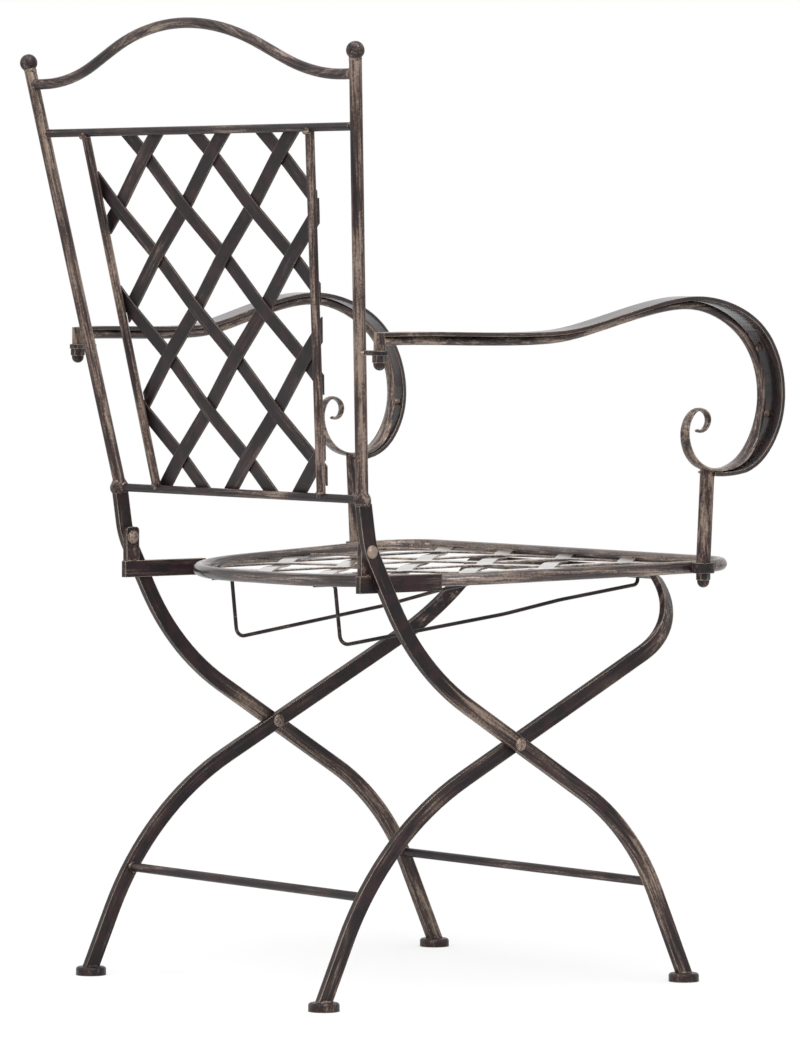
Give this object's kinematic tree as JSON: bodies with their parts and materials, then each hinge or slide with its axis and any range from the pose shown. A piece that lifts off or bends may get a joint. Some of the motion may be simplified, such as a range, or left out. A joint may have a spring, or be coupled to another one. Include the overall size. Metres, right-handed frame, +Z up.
{
  "type": "folding garden armchair",
  "caption": "Folding garden armchair of bent steel bar, with a woven strip back and seat, scrolled lift-off arms and crossed legs.",
  "frame": {"origin": "on the floor, midway between the feet and on the chair's middle plane", "axes": "-Y to the front, where the sitter faces; +Z up; +X to the sitter's left"},
  "size_m": [0.6944, 0.5274, 1.0061],
  "materials": {
    "bars": "antique bronze-brushed near-black paint, satin",
    "lattice": "near-black bronze paint, satin",
    "feet": "near-black bronze paint, satin",
    "fasteners": "bronze paint rubbed bright on the edges"
  },
  "bodies": {
    "back_frame": {"back_high_bar": "bars", "back_low_bar": "bars", "back_post_left": "bars", "back_post_right": "bars", "back_strip_up_left_1": "lattice", "back_strip_up_left_2": "lattice", "back_strip_up_left_3": "lattice", "back_strip_up_left_4": "lattice", "back_strip_up_left_5": "lattice", "back_strip_up_left_6": "lattice", "back_strip_up_right_1": "lattice", "back_strip_up_right_2": "lattice", "back_strip_up_right_3": "lattice", "back_strip_up_right_4": "lattice", "back_strip_up_right_5": "lattice", "back_strip_up_right_6": "lattice", "finial_left": "bars", "finial_right": "bars", "front_foot_left": "feet", "front_foot_right": "feet", "front_leg_left": "bars", "front_leg_right": "bars", "front_stretcher": "bars", "leg_rivets": "fasteners", "rear_arm_eye_left": "bars", "rear_arm_eye_right": "bars", "rear_cap_nuts": "fasteners", "seat_rivets": "fasteners", "top_rail": "bars", "upright_left": "bars", "upright_right": "bars"},
    "rear_legs": {"rear_foot_left": "feet", "rear_foot_right": "feet", "rear_leg_hoop": "bars", "rear_stretcher": "bars"},
    "seat": {"front_arm_eye_left": "bars", "front_arm_eye_right": "bars", "front_cap_nuts": "fasteners", "guide_wire_left": "bars", "guide_wire_right": "bars", "seat_bracket_left": "bars", "seat_bracket_right": "bars", "seat_ring": "bars", "seat_strips_one_way": "lattice", "seat_strips_other_way": "lattice", "seat_tab_left": "bars", "seat_tab_right": "bars"},
    "arm_left": {"arm_band_left": "bars", "arm_pegs_left": "bars", "arm_post_left": "bars", "arm_rod_left": "bars", "arm_studs_left": "fasteners", "rear_collar_left": "bars"},
    "arm_right": {"arm_band_right": "bars", "arm_pegs_right": "bars", "arm_post_right": "bars", "arm_rod_right": "bars", "arm_studs_right": "fasteners", "rear_collar_right": "bars"}
  },
  "joints": [
    {"name": "fold", "type": "hinge", "parent": "back_frame", "child": "rear_legs", "pos_m": [0, -0.012, 0.2595], "axis": [-1, 0, 0], "range_deg": [0, 66]},
    {"name": "seat_tip_up", "type": "hinge", "parent": "back_frame", "child": "seat", "pos_m": [0, 0.17868, 0.463], "axis": [-1, 0, 0], "range_deg": [0, 45.55]},
    {"name": "arm_left_lift_off", "type": "slide", "parent": "back_frame", "child": "arm_left", "axis": [0, 0, 1], "range_m": [0, 0.4963]},
    {"name": "arm_right_lift_off", "type": "slide", "parent": "back_frame", "child": "arm_right", "axis": [0, 0, 1], "range_m": [0, 0.4963]}
  ],
  "couplings": [
    {"joint": "seat_tip_up", "follows": "fold", "ratio": 0.69},
    {"joint": "arm_left_lift_off", "follows": "fold", "m_per_rad": 0.43},
    {"joint": "arm_right_lift_off", "follows": "fold", "m_per_rad": 0.43}
  ]
}
